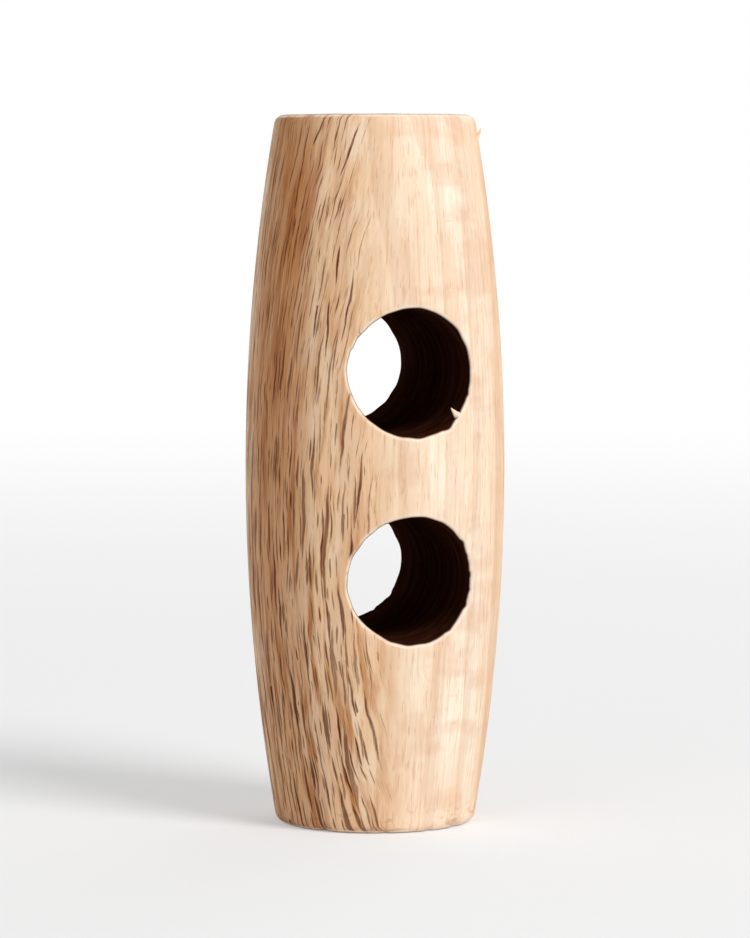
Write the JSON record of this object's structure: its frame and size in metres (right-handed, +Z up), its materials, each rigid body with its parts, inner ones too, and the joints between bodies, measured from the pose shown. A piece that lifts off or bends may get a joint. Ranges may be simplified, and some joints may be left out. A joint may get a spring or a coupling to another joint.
{
  "type": "wooden toggle button",
  "caption": "Barrel-shaped toggle button turned from plain beech, with flat sawn ends and cross-drilled cord holes for a loop-and-toggle fastening.",
  "frame": {"origin": "centre of the lower sawn end, on the surface that the toggle stands on", "axes": "+Z up along the turning axis, which is the toggle's length; +Y along the cord holes; +X across them"},
  "size_m": [0.011, 0.011, 0.03],
  "materials": {
    "beech": "sanded bare beech, satin matte, no lacquer"
  },
  "bodies": {
    "root": {"toggle_body": "beech"}
  },
  "joints": []
}
